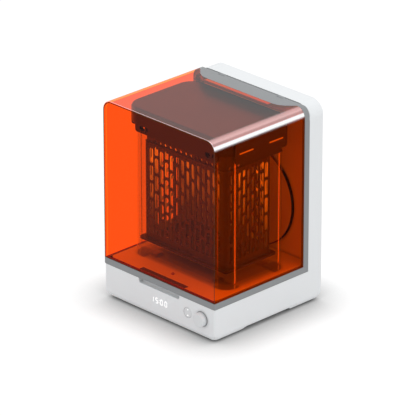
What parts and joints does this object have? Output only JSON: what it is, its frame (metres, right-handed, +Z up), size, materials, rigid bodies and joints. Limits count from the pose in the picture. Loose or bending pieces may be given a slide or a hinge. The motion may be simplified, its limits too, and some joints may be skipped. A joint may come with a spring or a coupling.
{
  "type": "light curing unit",
  "caption": "Bench-top unit that washes and light-cures small prints: white base, orange hinged hood, clear tank with a dark lid and a hanging slotted basket.",
  "frame": {"origin": "centre of the bounding box at the underside of the rubber feet", "axes": "+X to the right as seen from the front, +Y to the rear, +Z up"},
  "size_m": [0.23, 0.2294, 0.315],
  "materials": {
    "white_casing": "fine satin moulding",
    "grey_frame": "satin moulding",
    "orange_hood": "clear orange acrylic, polished",
    "clear_tank": "clear moulded plastic",
    "lamp_glass": "opal diffuser, satin",
    "dark_plastic": "satin moulding",
    "black_rubber": "matte",
    "black_plastic": "matte",
    "plated_steel": "plated",
    "cast_aluminium": "as cast",
    "circuit_board": "solder mask",
    "led_white": "translucent",
    "white_stirrer": "smooth moulding"
  },
  "bodies": {
    "casing": {"base_shell": "white_casing", "bottom_plate": "white_casing", "rubber_feet": "black_rubber", "plate_screws": "plated_steel", "deck_plate": "white_casing", "tank_pads": "black_rubber", "hood_sensor": "black_plastic", "base_magnets": "plated_steel", "rear_housing": "white_casing", "chamber_wall": "white_casing", "rear_cover": "white_casing", "cover_screws": "plated_steel", "lamp_ring": "black_plastic", "lamp_window": "lamp_glass", "led_board": "circuit_board", "uv_leds": "led_white", "heat_sink": "cast_aluminium", "fan_frame": "black_plastic", "hinge_barrels": "grey_frame", "hinge_pins": "plated_steel", "display_window": "white_casing", "display_digits": "led_white", "display_module": "black_plastic", "control_board": "circuit_board", "button_switch": "black_plastic", "knob_encoder": "plated_steel", "power_board": "circuit_board", "power_jack": "black_plastic", "switch_frame": "black_plastic", "drive_motor": "plated_steel", "motor_bracket": "plated_steel", "bracket_screws": "plated_steel", "tank": "clear_tank", "tank_lid": "dark_plastic", "lid_seal": "black_rubber", "lid_bosses": "dark_plastic", "latch_left": "dark_plastic", "latch_right": "dark_plastic", "basket_collar": "dark_plastic", "basket_front": "dark_plastic", "basket_rear": "dark_plastic", "basket_left": "dark_plastic", "basket_right": "dark_plastic", "basket_corners": "dark_plastic", "basket_plate": "dark_plastic"},
    "hood": {"hood_shell": "orange_hood", "hood_frame": "grey_frame", "hood_magnets": "plated_steel"},
    "button": {"start_button": "white_casing", "button_lights": "led_white"},
    "knob": {"time_knob": "white_casing"},
    "rocker": {"power_rocker": "black_plastic"},
    "fan": {"fan_rotor": "black_plastic"},
    "drive": {"drive_disc": "plated_steel"},
    "stirrer": {"stirrer": "white_stirrer"}
  },
  "joints": [
    {"name": "hood_hinge", "type": "hinge", "parent": "casing", "child": "hood", "pos_m": [0, 0.08235, 0.312], "axis": [-1, 0, 0], "range_deg": [0, 85]},
    {"name": "start_press", "type": "slide", "parent": "casing", "child": "button", "axis": [0, 1, 0], "range_m": [0, 0.001], "stiffness_N_per_m": 800, "springref_m": -0.001},
    {"name": "knob_turn", "type": "hinge", "parent": "casing", "child": "knob", "pos_m": [0.089, -0.10625, 0.0325], "axis": [0, 1, 0], "continuous": true},
    {"name": "switch_rock", "type": "hinge", "parent": "casing", "child": "rocker", "pos_m": [-0.05, 0.11075, 0.03], "axis": [-1, 0, 0], "range_deg": [0, 16]},
    {"name": "fan_spin", "type": "hinge", "parent": "casing", "child": "fan", "pos_m": [0, 0.10375, 0.142], "axis": [0, 1, 0], "continuous": true},
    {"name": "drive_spin", "type": "hinge", "parent": "casing", "child": "drive", "pos_m": [0, -0.00475, 0.059], "axis": [0, 0, 1], "continuous": true},
    {"name": "stirrer_spin", "type": "hinge", "parent": "casing", "child": "stirrer", "pos_m": [0, -0.00475, 0.074], "axis": [0, 0, 1], "continuous": true}
  ],
  "couplings": [
    {"joint": "stirrer_spin", "follows": "drive_spin", "ratio": 1}
  ]
}
